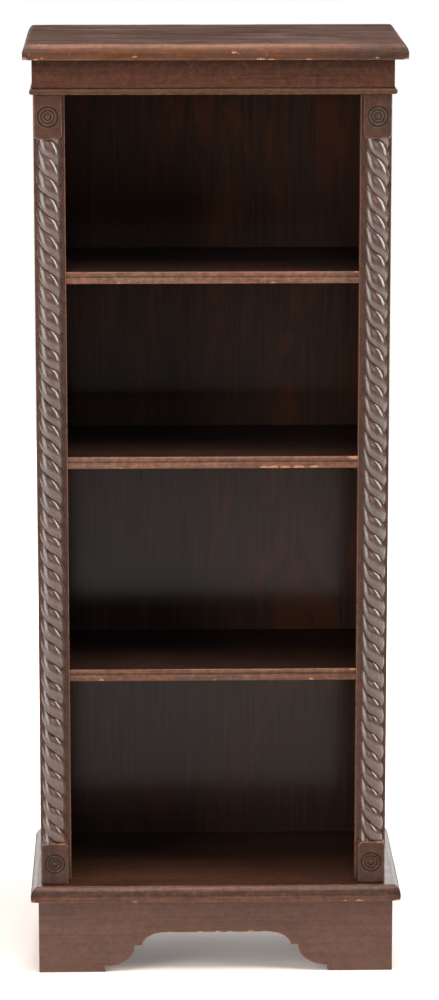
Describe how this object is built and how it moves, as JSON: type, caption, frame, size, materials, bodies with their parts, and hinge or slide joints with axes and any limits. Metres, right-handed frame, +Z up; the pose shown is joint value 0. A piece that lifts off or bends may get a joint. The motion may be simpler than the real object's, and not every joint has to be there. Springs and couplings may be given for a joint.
{
  "type": "open bookcase",
  "caption": "Narrow open bookcase with fixed shelves between rope-twist pilasters, a moulded top, and a moulded plinth with an arched front.",
  "frame": {"origin": "on the floor, in the middle of the footprint (the rectangle of the plinth board)", "axes": "+Z up, +Y from the front to the back, +X to the right as seen from the front"},
  "size_m": [0.462, 0.25, 1.163],
  "materials": {
    "mahogany": "old wax over worn stain, satin",
    "figured_veneer": "old French polish, glossy",
    "pine": "raw, darkened with age",
    "steel": "dull, dark with age"
  },
  "bodies": {
    "root": {"top_board": "mahogany", "frieze_board": "mahogany", "bead_front": "mahogany", "bead_left": "mahogany", "bead_right": "mahogany", "side_panel_left": "mahogany", "side_panel_right": "mahogany", "stile_left": "mahogany", "stile_right": "mahogany", "rope_pilaster_left": "mahogany", "rope_pilaster_right": "mahogany", "shelf_upper": "mahogany", "shelf_middle": "mahogany", "shelf_lower": "mahogany", "plinth_board": "mahogany", "apron_front": "mahogany", "plinth_side_left": "mahogany", "plinth_side_right": "mahogany", "back_panel": "figured_veneer", "head_rail": "pine", "back_top_rail": "pine", "plinth_back_rail": "pine", "plinth_corner_blocks": "pine", "top_glue_blocks": "pine", "apron_pins": "steel", "apron_nails": "steel", "frieze_nails": "steel", "back_panel_pins": "steel", "top_screws": "steel", "base_screws": "steel"}
  },
  "joints": []
}
